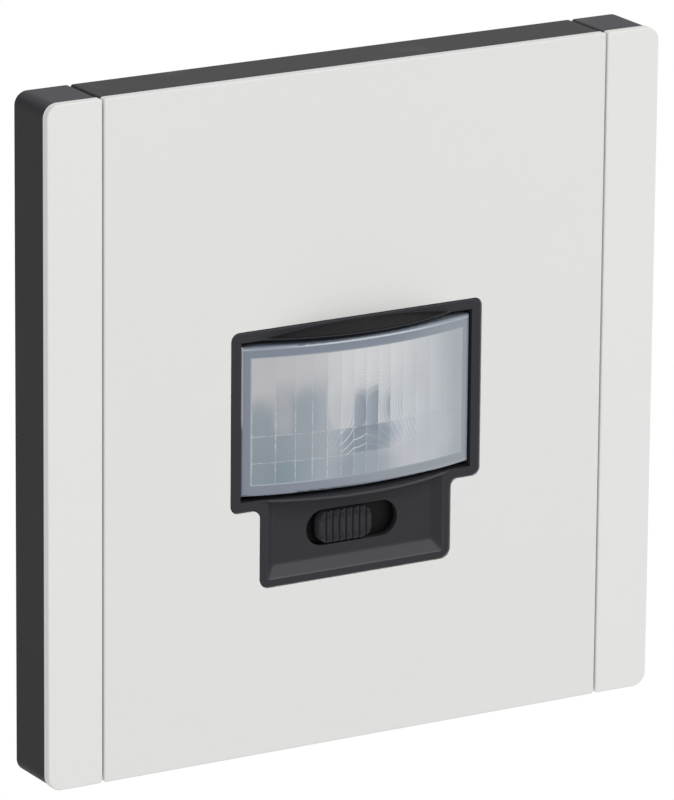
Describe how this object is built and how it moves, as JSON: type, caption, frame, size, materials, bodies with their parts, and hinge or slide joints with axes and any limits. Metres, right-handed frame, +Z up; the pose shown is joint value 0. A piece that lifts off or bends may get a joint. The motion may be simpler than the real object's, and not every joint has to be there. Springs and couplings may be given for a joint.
{
  "type": "motion sensor light switch",
  "caption": "Wall switch that turns a light on when it senses movement, with a curved lens in a black bezel, a slider for off, automatic and on, and a module that hangs in the wall box.",
  "frame": {"origin": "centre of the plate on the wall plane", "axes": "+X to the right and +Z up as seen from the room, the plate's face looks along -Y and the module reaches into the wall along +Y"},
  "size_m": [0.086, 0.0355, 0.086],
  "materials": {
    "white_plastic": "smooth satin",
    "dark_plastic": "fine grain",
    "black_plastic": "satin",
    "lens_plastic": "milky, translucent",
    "grey_plastic": "moulded",
    "bridge_steel": "zinc plated",
    "screw_steel": "zinc plated",
    "terminal_plastic": "moulded",
    "terminal_brass": "plated",
    "board": "solder mask",
    "pin_metal": "tinned",
    "filter": "polished",
    "clear_resin": "clear",
    "chip_plastic": "moulded",
    "trimmer_blue": "moulded",
    "trimmer_white": "moulded",
    "capacitor_yellow": "moulded",
    "can_sleeve": "shrink sleeve",
    "varistor_coat": "dipped",
    "resistor_coat": "lacquered"
  },
  "bodies": {
    "switch": {"left_fascia": "white_plastic", "centre_fascia": "white_plastic", "right_fascia": "white_plastic", "left_end_frame": "dark_plastic", "centre_frame": "dark_plastic", "right_end_frame": "dark_plastic", "sensor_bezel": "black_plastic", "fresnel_lens": "lens_plastic", "plate_base": "grey_plastic", "module_cover": "grey_plastic", "rear_housing": "grey_plastic", "support_frame": "bridge_steel", "base_screws": "screw_steel", "housing_screws": "screw_steel", "terminal_block": "terminal_plastic", "terminal_clamps": "terminal_brass", "terminal_screws": "terminal_brass", "sensor_board": "board", "power_board": "board", "board_pins": "pin_metal", "slide_switch_pins": "pin_metal", "slide_switch_case": "pin_metal", "pir_detector": "pin_metal", "pir_window": "filter", "light_sensor": "clear_resin", "controller_chip": "chip_plastic", "bridge_rectifier": "chip_plastic", "time_trimmer_case": "trimmer_blue", "lux_trimmer_case": "trimmer_blue", "relay": "trimmer_blue", "film_capacitor": "capacitor_yellow", "storage_capacitor": "can_sleeve", "varistor": "varistor_coat", "fuse_resistor": "resistor_coat"},
    "slider": {"slider_knob": "black_plastic", "slide_switch_lever": "chip_plastic"},
    "time_rotor": {"time_trimmer_rotor": "trimmer_white"},
    "lux_rotor": {"lux_trimmer_rotor": "trimmer_white"}
  },
  "joints": [
    {"name": "slider_travel", "type": "slide", "parent": "switch", "child": "slider", "axis": [1, 0, 0], "range_m": [0, 0.0022]},
    {"name": "time_adjust", "type": "hinge", "parent": "switch", "child": "time_rotor", "pos_m": [-0.0202, 0.002, -0.01], "axis": [0, -1, 0], "range_deg": [-135, 135]},
    {"name": "lux_adjust", "type": "hinge", "parent": "switch", "child": "lux_rotor", "pos_m": [0.0202, 0.002, -0.01], "axis": [0, -1, 0], "range_deg": [-135, 135]}
  ]
}
